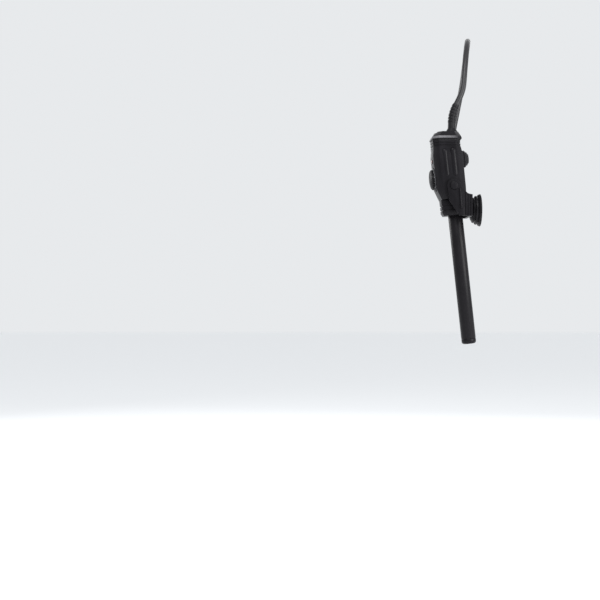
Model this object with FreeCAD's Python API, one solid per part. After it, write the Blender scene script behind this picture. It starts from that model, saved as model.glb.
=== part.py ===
import FreeCAD, Part
import math
import os

# Submersible aquarium heater held on a glass wall by a suction cup. Millimetres, +Z up.
# The origin is the centre of the lower suction cup's rim, on the glass. +X points into the glass.
# The heater is drawn upright in its own frame (u towards the glass, v along +Y, w up) and then leaned.

V = FreeCAD.Vector
X_AXIS, Y_AXIS, Z_AXIS = V(1, 0, 0), V(0, 1, 0), V(0, 0, 1)

# Place and lean of the heater
LEAN_DEG = -6.16
ROD_TOP_X, ROD_TOP_Z = -19.2, -3.9

# Head casing
HEAD_BOTTOM, HEAD_TOP = 12.5, 57.4
HEAD_LEFT, HEAD_RIGHT = -13.3, 9.5
HEAD_HALF_DEPTH = 14.0
HEAD_CORNER = 4.5
HEAD_WALL = 1.8
FLOOR = 2.0
CAP_TOP = 64.4
CAP_LIP = 0.8
LEVEL_U, LEVEL_W = -1.5, HEAD_TOP
LENS_W, LENS_R = 43.0, 1.6
PAD_W, PAD_STEM_R = 42.6, 2.5
RIDGE_R, RIDGE_LOW, RIDGE_HIGH = 2.6, 31.0, 49.0
RIDGES = ((-4.6, 2.2), (1.8, 1.85))
BOSS_R, BOSS_REACH = 4.0, 9.6

# Tube and collar
TUBE_R, TUBE_WALL, TUBE_BOTTOM = 5.6, 1.0, -100.0
PLUG_H = 4.0
COLLAR_LEFT, COLLAR_RIGHT, COLLAR_HALF_DEPTH = -10.4, 6.8, 9.5
SEAL_R, SEAL_H = 6.5, 1.8
CORE_R, WIRE_R, WIRE_TURNS, COIL_PITCH = 2.6, 0.4, 20, 3.0
SPACER_R, LEAD_U, FUSE_R, SENSOR_R = 4.5, 3.9, 1.3, 1.1

# Temperature knob on the left face
KNOB_W, KNOB_R, KNOB_T = 29.0, 7.75, 2.6
SPINDLE_R = 1.5
SCALLOPS, SCALLOP_R = 14, 0.9
BUSH_R, BUSH_FLANGE_R, SPINDLE_SEAL_R = 3.2, 4.4, 2.5
SCALE_R, LAMP_R = 9.3, 1.4
DIAL_STEPS = {
    "scale start": -0.6, "scale end": 0.12, "bush start": 0.3, "flange start": 2.6,
    "seal start": 3.0, "flange end": 4.2, "seal end": 4.4, "bush end": 5.0,
}
RUN = 0.05

# Bracket, pivot and suction cup
PIVOT_X, PIVOT_Z, PIVOT_R = -22.1, 17.8, 1.9
CHEEK_GAP, CHEEK_T, CHEEK_R = 0.45, 2.0, 5.2
WEB_IN, WEB_OUT, WEB_LOW, WEB_HIGH = -10.4, -8.0, -5.4, 11.0
HUB_R = 5.4
RIB_GROOVES, RIB_GROOVE_W, RIB_GROOVE_DEPTH = (-14.0, -12.1, -10.2), 0.8, 0.6
BRACE_R, BRACE_TOP, BRACE_LOW = 1.0, (-17.6, 15.0), (-16.6, 1.0)
PIN_HEAD_R, PIN_HEAD_T = 3.0, 1.0
CUP_R, STUD_R = 12.5, 2.5

# Cable
CORD_D = 4.5
GLAND_U, NECK_END = 3.3, 72.5
GLAND_FOOT_R, GLAND_NECK_R = 4.6, 2.95
GLAND_STEPS, GLAND_STEP, GLAND_TURN_DEG = 6, 2.4, 5.0
NUT_STEM_R, NUT_R = 2.55, 2.9
COIL_TURN_R = 22.5
COIL_X, COIL_Y, COIL_Z = -19.5, 47.5, 40.5
COIL_HALF_W = 9.0
TIE_H = 7.0
CORD_ROUTE = [
    (-15.1, 0.1, 88.2), (-12.7, 0.9, 95.9), (-11.7, 2.9, 107.2), (-9.7, 8.7, 122.0),
    (-7.0, 20.5, 134.0), (-4.4, 36.0, 139.5), (-2.9, 52.0, 136.5), (-2.7, 65.5, 126.0),
    (-3.9, 73.0, 109.5), (-7.4, 75.0, 90.5), (-11.6, 73.9, 70.5), (-13.9, 72.0, 50.5),
]
TAIL_ROUTE = [
    (-21.6, 56.5, 65.6), (-22.4, 66.0, 68.4), (-20.0, 77.5, 69.4), (-15.6, 88.1, 65.4),
    (-10.8, 95.4, 57.0), (-7.4, 98.6, 45.7),
]
PLUG_X, PLUG_Y, PLUG_TOP = TAIL_ROUTE[-1]
PLUG_RELIEF_H, PLUG_H_BODY, PLUG_W, PLUG_T = 14.0, 27.0, 35.0, 13.4
PIN_R, PIN_H, PIN_PITCH = 2.0, 19.0, 18.8

LEAN = math.radians(LEAN_DEG)


def to_world(u, v, w):
    """Point of the upright heater carried to its leaning place."""
    x = ROD_TOP_X + u * math.cos(LEAN) + w * math.sin(LEAN)
    z = ROD_TOP_Z - u * math.sin(LEAN) + w * math.cos(LEAN)
    return V(x, v, z)


def leaned(shape):
    """The upright heater's shape, leaned and set in place."""
    moved = shape.copy()
    moved.rotate(V(0, 0, 0), Y_AXIS, LEAN_DEG)
    moved.translate(V(ROD_TOP_X, 0, ROD_TOP_Z))
    return moved


def levelled(shape):
    """A shape of the upright heater, turned about the casing's top so that it ends up level."""
    moved = shape.copy()
    moved.rotate(V(LEVEL_U, 0, LEVEL_W), Y_AXIS, -LEAN_DEG)
    return moved


def save(name, shape):
    """Write one node and report its volume."""
    if not shape.isValid():
        raise ValueError(name + " is not a valid solid")
    shape.exportStep("parts/" + name + ".step")
    print(name, len(shape.Solids), "solids", round(shape.Volume, 1), "mm3")


def rod(radius, start, end):
    """Cylinder between two points."""
    a, b = V(*start), V(*end)
    return Part.makeCylinder(radius, (b - a).Length, a, b - a)


def ring(outer, inner, start, end):
    """Round sleeve between two points."""
    a, b = V(*start), V(*end)
    reach = (b - a).normalize() * 0.5
    hole = Part.makeCylinder(inner, (b - a).Length + 1, a - reach, b - a)
    return rod(outer, start, end).cut(hole)


def turned(profile, centre, axis, out):
    """Solid of revolution: profile holds (along the axis, radius) pairs."""
    points = [centre + axis * a + out * r for a, r in profile]
    face = Part.Face(Part.makePolygon(points + points[:1]))
    return face.revolve(centre, axis, 360)


def octagon(left, right, half_depth, corner, w):
    """Closed wire of a rectangle with cut corners, at height w."""
    outline = [
        (left, -half_depth + corner), (left + corner, -half_depth),
        (right - corner, -half_depth), (right, -half_depth + corner),
        (right, half_depth - corner), (right - corner, half_depth),
        (left + corner, half_depth), (left, half_depth - corner),
    ]
    points = [V(u, v, w) for u, v in outline]
    return Part.makePolygon(points + points[:1])


def lofted(sections):
    """Ruled solid through octagon sections given as (left, right, half depth, corner, w)."""
    return Part.makeLoft([octagon(*s) for s in sections], True, True)


def head_sections(inset, low, high):
    """Outline of the head casing, inset by a wall, between two heights."""
    waist, chin = 1.2, 3.2
    left, right, half = HEAD_LEFT + inset, HEAD_RIGHT - inset, HEAD_HALF_DEPTH - inset
    corner = HEAD_CORNER - 0.4 * inset
    return [
        (left + chin, right - 0.7, half - 0.3, corner, low),
        (left + 0.3, right - 0.2, half, corner, 20.5),
        (left, right, half, corner, 46.0),
        (left + waist, right - 0.5, half - 0.8, corner, 51.5),
        (left + waist, right - 0.5, half - 0.8, corner, high),
    ]


def band(outer, inner, low, high):
    """Octagonal ring between two heights; outlines are (left, right, half depth, corner)."""
    whole = lofted([(*outer, low), (*outer, high)])
    return whole.cut(lofted([(*inner, low - 1), (*inner, high + 1)]))


def pivot_local():
    """The tilt pivot in the upright heater's frame, as (u, w)."""
    dx, dz = PIVOT_X - ROD_TOP_X, PIVOT_Z - ROD_TOP_Z
    return (dx * math.cos(LEAN) - dz * math.sin(LEAN), dx * math.sin(LEAN) + dz * math.cos(LEAN))


def casing_ridges():
    """Half-round ridges with rounded ends along the casing's front and back."""
    ridges = []
    for u, sunk in RIDGES:
        for side in (-1, 1):
            v = side * (HEAD_HALF_DEPTH - sunk)
            ridges.append(rod(RIDGE_R, (u, v, RIDGE_LOW), (u, v, RIDGE_HIGH)))
            ridges.append(Part.makeSphere(RIDGE_R, V(u, v, RIDGE_LOW)))
            ridges.append(Part.makeSphere(RIDGE_R, V(u, v, RIDGE_HIGH)))
    return ridges


def head_shell():
    """Octagonal casing, open at the top, with bosses for the pivot pins and a hole for the dial."""
    over = 3.0
    shell = lofted(head_sections(0.0, HEAD_BOTTOM, HEAD_TOP + over))
    shell = shell.fuse(casing_ridges())
    shell = shell.cut(lofted(head_sections(HEAD_WALL, HEAD_BOTTOM + FLOOR, HEAD_TOP + over + 1)))
    shell = shell.cut(levelled(Part.makeBox(40, 40, 10, V(-20, -20, HEAD_TOP))))
    u, w = pivot_local()
    for side in (-1, 1):
        boss = rod(BOSS_R, (u, side * BOSS_REACH, w), (u, side * (HEAD_HALF_DEPTH - 1), w))
        shell = shell.fuse(boss)
    for side in (-1, 1):
        hole = rod(PIVOT_R + RUN, (u, side * 10.8, w), (u, side * (HEAD_HALF_DEPTH + 1), w))
        shell = shell.cut(hole)
    shell = shell.cut(rod(TUBE_R, (0, 0, HEAD_BOTTOM - 1), (0, 0, HEAD_BOTTOM + FLOOR + 1)))
    outside, inside = HEAD_LEFT - 2, HEAD_LEFT + 4
    shell = shell.cut(rod(BUSH_R, (outside, 0, KNOB_W), (inside, 0, KNOB_W)))
    shell = shell.cut(rod(LENS_R, (outside, 0, LENS_W), (inside, 0, LENS_W)))
    shell = shell.cut(rod(PAD_STEM_R, (HEAD_RIGHT - 4, 0, PAD_W), (HEAD_RIGHT + 2, 0, PAD_W)))
    for low in (52.9, 55.0):
        groove = band((-16, 13, 17, 4.5), (-11.2, 9.1, 12.8, 4.3), low, low + 0.8)
        shell = shell.cut(levelled(groove))
    return shell


def head_cap():
    """Level bevelled lid with a spigot that drops into the casing and a bore for the cable gland."""
    seat = HEAD_TOP + CAP_LIP
    cap = lofted([
        (-12.6, 9.6, 14.0, 4.8, seat), (-13.0, 10.0, 14.4, 4.8, seat + 0.9),
        (-12.6, 9.6, 14.0, 4.8, seat + 2.3), (-8.2, 7.4, 10.6, 3.6, CAP_TOP),
    ])
    spigot = lofted([(-9.6, 6.8, 11.2, 3.8, seat - 4.8), (-9.6, 6.8, 11.2, 3.8, seat + 0.1)])
    hollow = lofted([(-8.0, 5.4, 9.6, 3.4, seat - 5.3), (-8.0, 5.4, 9.6, 3.4, seat + 1.1)])
    bore = rod(NUT_STEM_R + RUN, (GLAND_U - 0.6, 0, 50), (GLAND_U - 0.6, 0, 70))
    return levelled(cap.fuse(spigot).cut(hollow).cut(bore).removeSplitter())


def cap_gasket():
    """Rubber gasket between the casing's rim and the cap."""
    gasket = band((-12.0, 9.0, 13.1, 4.4), (-10.0, 7.2, 11.3, 3.8), HEAD_TOP, HEAD_TOP + CAP_LIP)
    return levelled(gasket)


def gland_joints():
    """Centres of the strain relief's rings, bending from upright towards the glass."""
    here = to_world(LEVEL_U, 0, LEVEL_W) + V(GLAND_U - LEVEL_U, 0, NECK_END - LEVEL_W)
    centres = [here]
    for i in range(GLAND_STEPS):
        heading = math.radians(GLAND_TURN_DEG * (i + 0.5))
        here = here + V(math.sin(heading), 0, math.cos(heading)) * GLAND_STEP
        centres.append(here)
    return centres


def cable_gland():
    """Strain relief: a sloped foot, a straight neck and tapering rings bent towards the glass."""
    profile = [
        (CAP_TOP, 0), (CAP_TOP, GLAND_FOOT_R), (CAP_TOP + 0.8, GLAND_FOOT_R),
        (CAP_TOP + 3.4, GLAND_NECK_R), (NECK_END, GLAND_NECK_R - 0.2), (NECK_END, 0),
    ]
    gland = leaned(levelled(turned(profile, V(GLAND_U, 0, 0), Z_AXIS, X_AXIS)))
    centres = gland_joints()
    slim = CORD_D / 2 + 0.3
    for i, (a, b) in enumerate(zip(centres, centres[1:])):
        wide = GLAND_NECK_R - 0.03 * i
        step = b - a
        gland = gland.fuse(Part.makeCylinder(wide, 1.5, a, step))
        gland = gland.fuse(Part.makeCone(slim + 0.15, slim, step.Length, a, step))
        if i:
            gland = gland.fuse(Part.makeSphere(slim, a))
    return gland


def gland_nut():
    """Nut that clamps the gland's stem under the cap."""
    u = GLAND_U - 0.6
    stem = rod(NUT_STEM_R, (u, 0, CAP_TOP - 9.5), (u, 0, CAP_TOP))
    flange = rod(NUT_R, (u - 0.6, 0, CAP_TOP - 8.9), (u - 0.6, 0, CAP_TOP - 6.9))
    return levelled(stem.fuse(flange))


def temperature_knob():
    """Domed knob with finger scallops and a pointer groove."""
    base = HEAD_LEFT - 0.95
    profile = [
        (0, 0), (0, KNOB_R), (-1.1, KNOB_R), (-2.1, KNOB_R - 1.4), (-KNOB_T, KNOB_R - 3.6),
        (-KNOB_T, 0),
    ]
    knob = turned(profile, V(base, 0, KNOB_W), X_AXIS, Z_AXIS)
    for i in range(SCALLOPS):
        a = 2 * math.pi * (i + 0.5) / SCALLOPS
        v, w = (KNOB_R + 0.5) * math.sin(a), KNOB_W + (KNOB_R + 0.5) * math.cos(a)
        knob = knob.cut(rod(SCALLOP_R, (base + 1, v, w), (base - 4, v, w)))
    slot = Part.makeBox(2, 1.0, 4.4, V(base - KNOB_T - 1.4, -0.5, KNOB_W + 1.6))
    return knob.cut(slot)


def knob_spindle():
    """Shaft that carries the knob's turn to the trimmer."""
    return rod(SPINDLE_R, (HEAD_LEFT - 0.95, 0, KNOB_W), (-1.6, 0, KNOB_W))


def circuit_board():
    """Control board, drilled for the two heater leads' terminals."""
    board = Part.makeBox(1.6, 19.0, 27.0, V(1.4, -9.5, 25.5))
    for v in (-6.0, 6.0):
        board = board.cut(rod(1.0, (0, v, 28), (5, v, 28)))
    return board


def heater_tube():
    """Black outer tube of the heating rod."""
    low = TUBE_BOTTOM + PLUG_H
    return ring(TUBE_R, TUBE_R - TUBE_WALL, (0, 0, low), (0, 0, HEAD_BOTTOM + FLOOR + 1.5))


def tube_end_plug():
    """Rounded end of the heating rod with its spigot."""
    foot = Part.makeCylinder(TUBE_R, PLUG_H, V(0, 0, TUBE_BOTTOM))
    low_edges = [e for e in foot.Edges if e.BoundBox.ZMax < TUBE_BOTTOM + 0.1]
    foot = foot.makeFillet(1.8, low_edges)
    return foot.fuse(rod(TUBE_R - TUBE_WALL - 0.02, (0, 0, TUBE_BOTTOM + PLUG_H - 0.1), (0, 0, -90)))


def heating_coil():
    """Turns of resistance wire round the ceramic core."""
    turns = []
    for i in range(WIRE_TURNS):
        centre = V(0, 0, -84 + COIL_PITCH * i)
        turns.append(Part.makeTorus(CORE_R + WIRE_R + 0.1, WIRE_R, centre))
    return Part.makeCompound(turns)


def collar():
    """Stepped collar that holds the tube below the head."""
    body = lofted([
        (COLLAR_LEFT + 1.4, COLLAR_RIGHT - 0.6, COLLAR_HALF_DEPTH - 1, 3.2, 0),
        (COLLAR_LEFT + 0.2, COLLAR_RIGHT, COLLAR_HALF_DEPTH, 3.4, 2.4),
        (COLLAR_LEFT, COLLAR_RIGHT + 0.2, COLLAR_HALF_DEPTH, 3.4, HEAD_BOTTOM),
    ])
    for low in (4.0, 7.2):
        body = body.cut(band((-14, 12, 14, 3.4), (-9.7, 6.2, 8.8, 3.2), low, low + 0.9))
    body = body.cut(rod(TUBE_R, (0, 0, -1), (0, 0, HEAD_BOTTOM + 1)))
    return body.cut(rod(SEAL_R, (0, 0, HEAD_BOTTOM - SEAL_H), (0, 0, HEAD_BOTTOM + 1)))


def spacer_pad():
    """Knobbly rubber dome that keeps the head off the glass, with its push-in stem."""
    base = HEAD_RIGHT - 0.1
    profile = [
        (0, 0), (0, 7.0), (0.9, 7.0), (1.4, 6.3), (2.0, 6.7), (2.8, 6.1), (3.3, 5.2), (4.0, 5.2),
        (4.6, 4.0), (5.2, 3.6), (5.5, 1.8), (5.5, 0),
    ]
    dome = turned(profile, V(base, 0, PAD_W), X_AXIS, Z_AXIS)
    return dome.fuse(rod(PAD_STEM_R, (HEAD_RIGHT - 2.6, 0, PAD_W), (base + 0.5, 0, PAD_W)))


def lower_suction_cup():
    """Ribbed suction cup, hollow towards the glass, with a socket for the stud."""
    outer = [
        (0, 0), (0, CUP_R), (-0.7, CUP_R), (-1.7, 12.0), (-2.1, 10.2), (-2.7, 10.0), (-3.1, 11.2),
        (-4.1, 11.0), (-4.4, 9.2), (-5.0, 8.9), (-5.4, 9.9), (-6.3, 9.6), (-6.6, 8.2), (-7.4, 8.0),
        (-7.4, 0),
    ]
    hollow = [(0.5, 0), (0.5, 12.1), (0, 11.5), (-1.2, 8.4), (-2.1, 4.5), (-2.4, 0)]
    cup = turned(outer, V(0, 0, 0), X_AXIS, Z_AXIS)
    cup = cup.cut(turned(hollow, V(0, 0, 0), X_AXIS, Z_AXIS))
    return cup.cut(cup_stud())


def cup_stud():
    """Stud moulded into the cup; its outer head keeps the bracket on."""
    profile = [
        (-4.0, 0), (-4.0, 4.2), (-5.0, 4.2), (-5.0, STUD_R), (-10.6, STUD_R), (-10.6, 3.8),
        (-11.3, 3.8), (-12.0, 2.8), (-12.0, 0),
    ]
    return turned(profile, V(0, 0, 0), X_AXIS, Z_AXIS)


def swivel_bracket():
    """Fork that turns on the stud and carries the heater between two round-topped cheeks."""
    inner = HEAD_HALF_DEPTH + CHEEK_GAP
    outer = inner + CHEEK_T
    height = WEB_HIGH - WEB_LOW
    bracket = Part.makeBox(WEB_OUT - WEB_IN, 2 * outer, height, V(WEB_IN, -outer, WEB_LOW))
    outline = [
        (WEB_OUT, WEB_LOW), (WEB_OUT, WEB_HIGH), (-11.4, WEB_HIGH + 0.8), (-17.3, 17.0),
        (-20.5, PIVOT_Z), (-27.1, 16.6), (-25.6, 6.0), (-18.0, WEB_LOW + 0.4),
    ]
    for side in (-1, 1):
        y = inner if side > 0 else -outer
        points = [V(x, y, z) for x, z in outline]
        plate = Part.Face(Part.makePolygon(points + points[:1])).extrude(V(0, CHEEK_T, 0))
        top = rod(CHEEK_R, (PIVOT_X, y, PIVOT_Z), (PIVOT_X, y + CHEEK_T, PIVOT_Z))
        (x_high, z_high), (x_low, z_low) = BRACE_TOP, BRACE_LOW
        skin = side * (outer - 0.1)
        brace = rod(BRACE_R, (x_high, skin, z_high), (x_low, skin, z_low))
        ends = [Part.makeSphere(BRACE_R, V(x, skin, z)) for x, z in (BRACE_TOP, BRACE_LOW)]
        bracket = bracket.fuse([plate, top, brace, *ends])
        for x in RIB_GROOVES:
            low_y = side * outer - (RIB_GROOVE_DEPTH if side > 0 else 0)
            corner = V(x, low_y, WEB_LOW - 1)
            bracket = bracket.cut(Part.makeBox(RIB_GROOVE_W, RIB_GROOVE_DEPTH, height + 4, corner))
    bracket = bracket.fuse(rod(HUB_R, (WEB_IN, 0, 0), (WEB_OUT, 0, 0)))
    bracket = bracket.cut(rod(STUD_R + RUN, (WEB_IN - 1, 0, 0), (WEB_OUT + 1, 0, 0)))
    bracket = bracket.cut(rod(PIVOT_R, (PIVOT_X, -30, PIVOT_Z), (PIVOT_X, 30, PIVOT_Z)))
    return bracket.removeSplitter()


def pivot_pins():
    """Two flat-headed pins pressed into the bracket's cheeks."""
    outer = HEAD_HALF_DEPTH + CHEEK_GAP + CHEEK_T
    pins = []
    for side in (-1, 1):
        tip, face, rim = (side * reach for reach in (11.2, outer, outer + PIN_HEAD_T))
        shank = rod(PIVOT_R, (PIVOT_X, tip, PIVOT_Z), (PIVOT_X, rim, PIVOT_Z))
        head = rod(PIN_HEAD_R, (PIVOT_X, face, PIVOT_Z), (PIVOT_X, rim, PIVOT_Z))
        pins.append(shank.fuse(head))
    return Part.makeCompound(pins)


def arc_path(route):
    """Straight runs joined by tangent arcs, each as large as its two runs allow."""
    points = [V(*p) for p in route]
    edges, radii, start = [], [], points[0]
    for before, here, after in zip(points, points[1:], points[2:]):
        back, ahead = (before - here), (after - here)
        shorter = min(back.Length, ahead.Length)
        back.normalize()
        ahead.normalize()
        half_turn = (math.pi - back.getAngle(ahead)) / 2
        cut = 0.45 * shorter
        radii.append(cut / math.tan(half_turn))
        a, b = here + back * cut, here + ahead * cut
        middle = (back + ahead).normalize()
        reach = radii[-1] / math.cos(half_turn) - radii[-1]
        edges.append(Part.LineSegment(start, a).toShape())
        edges.append(Part.Arc(a, here + middle * reach, b).toShape())
        start = b
    edges.append(Part.LineSegment(start, points[-1]).toShape())
    return Part.Wire(edges), radii


def cord_tube(name, route):
    """Round tube along a route; prints its radii and compares its volume with section times length."""
    path, radii = arc_path(route)
    first = V(*route[1]) - V(*route[0])
    section = Part.Wire(Part.makeCircle(CORD_D / 2, V(*route[0]), first))
    tube = path.makePipeShell([section], True, False)
    ideal = math.pi * CORD_D ** 2 / 4 * path.Length
    print(name, "length", round(path.Length, 1), "radii", [round(r, 1) for r in radii])
    print(name, "volume share", round(tube.Volume / ideal, 4))
    return tube


def coil_frame(shape):
    """Lean a shape drawn round the coil's centre as the head leans."""
    moved = shape.copy()
    moved.rotate(V(0, 0, 0), Y_AXIS, LEAN_DEG)
    moved.translate(V(COIL_X, COIL_Y, COIL_Z))
    return moved


def cord_coil():
    """Outer shape of the tied coil of spare cable."""
    ends = (-COIL_HALF_W, 0, 0), (COIL_HALF_W, 0, 0)
    return coil_frame(ring(COIL_TURN_R + CORD_D, COIL_TURN_R - CORD_D, *ends))


def coil_tie():
    """Rubber band round the coil's bundle, on its front side."""
    height, wall, slack = TIE_H, 1.0, 0.2
    half_x, half_y = COIL_HALF_W + slack, CORD_D + 0.7
    inner = Part.makeBox(2 * half_x, 2 * half_y, height + 2, V(-half_x, -half_y, -height / 2 - 1))
    half_x, half_y = half_x + wall, half_y + wall
    outer = Part.makeBox(2 * half_x, 2 * half_y, height, V(-half_x, -half_y, -height / 2))
    upright = [e for e in outer.Edges if e.BoundBox.ZLength > height - 1]
    band_shape = outer.makeFillet(wall, upright).cut(inner)
    band_shape.translate(V(0, -COIL_TURN_R, 0))
    return coil_frame(band_shape)


def plug_relief():
    """Tapered strain relief of the mains plug."""
    profile = [(0, 0), (0, 2.7), (-PLUG_RELIEF_H, 4.2), (-PLUG_RELIEF_H, 0)]
    relief = turned(profile, V(PLUG_X, PLUG_Y, PLUG_TOP), Z_AXIS, X_AXIS)
    for i in range(3):
        z = PLUG_TOP - 3.6 - 3.4 * i
        groove = ring(6.0, 2.6 + 0.2 * i, (PLUG_X, PLUG_Y, z), (PLUG_X, PLUG_Y, z + 1.2))
        relief = relief.cut(groove)
    return relief


def plug_body():
    """Flat two-pin plug, narrow at the cable and wide at the pins."""
    top, low = PLUG_TOP - PLUG_RELIEF_H, PLUG_TOP - PLUG_RELIEF_H - PLUG_H_BODY
    sections = []
    sizes = (
        (low, PLUG_W, PLUG_T), (low + 11, PLUG_W, PLUG_T), (low + 21, 22.0, 12.0), (top, 12.0, 10.0),
    )
    for z, w, t in sizes:
        wire = octagon(PLUG_X - t / 2, PLUG_X + t / 2, w / 2, 0.3 * t, z)
        wire.translate(V(0, PLUG_Y, 0))
        sections.append(wire)
    return Part.makeLoft(sections, True, True)


def plug_pins():
    """Two round contact pins with rounded tips."""
    low = PLUG_TOP - PLUG_RELIEF_H - PLUG_H_BODY
    pins = []
    for side in (-0.5, 0.5):
        y = PLUG_Y + side * PIN_PITCH
        pin = rod(PIN_R, (PLUG_X, y, low - PIN_H), (PLUG_X, y, low))
        tip = [e for e in pin.Edges if e.BoundBox.ZMax < low - PIN_H + 0.1]
        pins.append(pin.makeFillet(1.2, tip))
    return Part.makeCompound(pins)


def lead_places():
    """The two leads' places across the rod."""
    return [side * LEAD_U for side in (-1, 1)]


def rod_internals():
    """The pieces inside the rod, upright."""
    spacer_high = ring(SPACER_R, CORE_R + RUN, (0, 0, -16), (0, 0, -13))
    for u in lead_places():
        spacer_high = spacer_high.cut(rod(WIRE_R + RUN, (u, 0, -20), (u, 0, 0)))
    return {
        "ceramic_core": rod(CORE_R, (0, 0, -88), (0, 0, -10)),
        "heating_coil": heating_coil(),
        "core_spacer_lower": rod(SPACER_R, (0, 0, -90), (0, 0, -88)),
        "core_spacer_upper": spacer_high,
        "lead_wires": Part.makeCompound([rod(WIRE_R, (u, 0, -24), (u, 0, 24)) for u in lead_places()]),
        "thermal_fuse": rod(FUSE_R, (0, 0, -2), (0, 0, 8)),
        "temperature_sensor": rod(SENSOR_R, (0, 0, -9), (0, 0, -4)),
        "tube_seal": ring(SEAL_R, TUBE_R, (0, 0, HEAD_BOTTOM - SEAL_H), (0, 0, HEAD_BOTTOM)),
    }


def dial_internals():
    """The dial's bush, seal, trimmer and scale ring, and the pilot lamp behind its lens."""
    bore = SPINDLE_R + RUN
    places = {key: (HEAD_LEFT + u, 0, KNOB_W) for key, u in DIAL_STEPS.items()}
    bush = ring(BUSH_R, bore, places["bush start"], places["bush end"])
    bush = bush.fuse(ring(BUSH_FLANGE_R, bore, places["flange start"], places["flange end"]))
    groove = ring(SPINDLE_SEAL_R, 1.0, places["seal start"], places["seal end"])
    trimmer = Part.makeBox(4.6, 9.0, 9.0, V(-3.2, -4.5, KNOB_W - 4.5))
    lamp = (HEAD_LEFT + 2.1, 0, LENS_W), (HEAD_LEFT + 7.0, 0, LENS_W)
    return {
        "temperature_trimmer": trimmer.cut(rod(bore, (-4.0, 0, KNOB_W), (-1.2, 0, KNOB_W))),
        "spindle_bush": bush.cut(groove),
        "spindle_seal": ring(SPINDLE_SEAL_R, bore, places["seal start"], places["seal end"]),
        "scale_ring": ring(SCALE_R, 3.4, places["scale start"], places["scale end"]),
        "indicator_lens": rod(LENS_R, (HEAD_LEFT - 0.5, 0, LENS_W), (HEAD_LEFT + 2.0, 0, LENS_W)),
        "indicator_lamp": rod(LAMP_R, *lamp),
    }


def board_internals():
    """The control board's parts and the leads' terminal block."""
    terminal = Part.makeBox(9.6, 12.0, 5.0, V(-5.0, -6.0, 18.2))
    for u in lead_places():
        terminal = terminal.cut(rod(WIRE_R + 0.02, (u, 0, 10), (u, 0, 30)))
    return {
        "terminal_block": terminal,
        "circuit_board": circuit_board(),
        "switching_triac": Part.makeBox(2.4, 8.0, 10.0, V(-1.0, -4.0, 38.0)),
        "smoothing_capacitor": rod(2.4, (-3.6, 6.4, 41.0), (1.4, 6.4, 41.0)),
    }


def main():
    """Build and write every node."""
    os.makedirs("parts", exist_ok=True)
    upright = {
        "head_shell": head_shell(),
        "head_cap": head_cap(),
        "cap_gasket": cap_gasket(),
        "gland_nut": gland_nut(),
        "temperature_knob": temperature_knob(),
        "knob_spindle": knob_spindle(),
        "heater_tube": heater_tube(),
        "tube_end_plug": tube_end_plug(),
        "tube_collar": collar(),
        "spacer_pad": spacer_pad(),
    }
    for group in (rod_internals(), dial_internals(), board_internals()):
        upright.update(group)
    for name, shape in upright.items():
        save(name, leaned(shape))
    save("cable_gland", cable_gland())
    save("lower_suction_cup", lower_suction_cup())
    save("cup_stud", cup_stud())
    save("swivel_bracket", swivel_bracket())
    save("pivot_pins", pivot_pins())
    exit_point = gland_joints()[-1]
    route = [(exit_point.x, exit_point.y, exit_point.z)] + CORD_ROUTE
    save("cord_tube", cord_tube("cord_tube", route))
    save("cord_tail", cord_tube("cord_tail", TAIL_ROUTE))
    save("cord_coil", cord_coil())
    save("coil_tie", coil_tie())
    save("plug_relief", plug_relief())
    save("plug_body", plug_body())
    save("plug_pins", plug_pins())
    print("gland exit", exit_point)


main()
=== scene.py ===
import logging
import math
from dataclasses import dataclass
from enum import Enum
from typing import Any, Callable, Iterable, Sequence

import bmesh
import bpy
from mathutils import Matrix, Vector


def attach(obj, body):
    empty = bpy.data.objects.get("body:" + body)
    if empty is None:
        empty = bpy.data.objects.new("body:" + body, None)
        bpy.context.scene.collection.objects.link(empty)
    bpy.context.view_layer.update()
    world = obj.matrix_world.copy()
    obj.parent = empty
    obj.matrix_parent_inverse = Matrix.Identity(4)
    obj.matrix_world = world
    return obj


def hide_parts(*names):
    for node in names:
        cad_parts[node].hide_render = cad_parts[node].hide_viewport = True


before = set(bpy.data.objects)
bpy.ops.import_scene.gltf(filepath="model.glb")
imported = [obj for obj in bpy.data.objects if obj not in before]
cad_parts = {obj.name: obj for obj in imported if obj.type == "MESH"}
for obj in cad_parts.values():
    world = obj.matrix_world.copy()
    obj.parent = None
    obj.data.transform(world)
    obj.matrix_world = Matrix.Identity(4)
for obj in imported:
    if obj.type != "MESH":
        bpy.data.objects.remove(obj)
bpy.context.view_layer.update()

LOG = logging.getLogger("aquarium_heater")
MM = 0.001
Point = tuple[float, float, float]
Colour = tuple[float, float, float]

# The heater is modelled upright, in millimetres from the top of its rod, and then leaned into place.
LEAN_DEG = -6.16
ROD_TOP = Vector((-19.2, 0.0, -3.9))
LEVEL_AT = Vector((-1.5, 0.0, 57.4))


class Body(Enum):
    """The rigid bodies that pieces ride on."""

    WALL_CUP = "wall_cup"
    BRACKET = "bracket"
    HEATER = "heater"
    KNOB = "knob"


class Axis(Enum):
    """The axis that a turned piece is spun about."""

    X = "X"
    Z = "Z"


class Element(Enum):
    """What is selected in edit mode: the mesh's own name for it, and the selection mode."""

    FACES = ("faces", "FACE")
    EDGES = ("edges", "EDGE")
    VERTS = ("verts", "VERT")


def heater_place() -> Matrix:
    """Carries the upright heater, in millimetres, to its leaning place in metres."""
    turn = Matrix.Rotation(math.radians(LEAN_DEG), 4, "Y")
    return Matrix.Scale(MM, 4) @ Matrix.Translation(ROD_TOP) @ turn


def level_turn() -> Matrix:
    """Turns a piece of the upright heater about the casing's top so that it ends up level."""
    turn = Matrix.Rotation(math.radians(-LEAN_DEG), 4, "Y")
    return Matrix.Translation(LEVEL_AT) @ turn @ Matrix.Translation(-LEVEL_AT)


def world_place() -> Matrix:
    """Carries a piece drawn in millimetres about the origin to metres."""
    return Matrix.Scale(MM, 4)


# ---------------------------------------------------------------- shader maths


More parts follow.
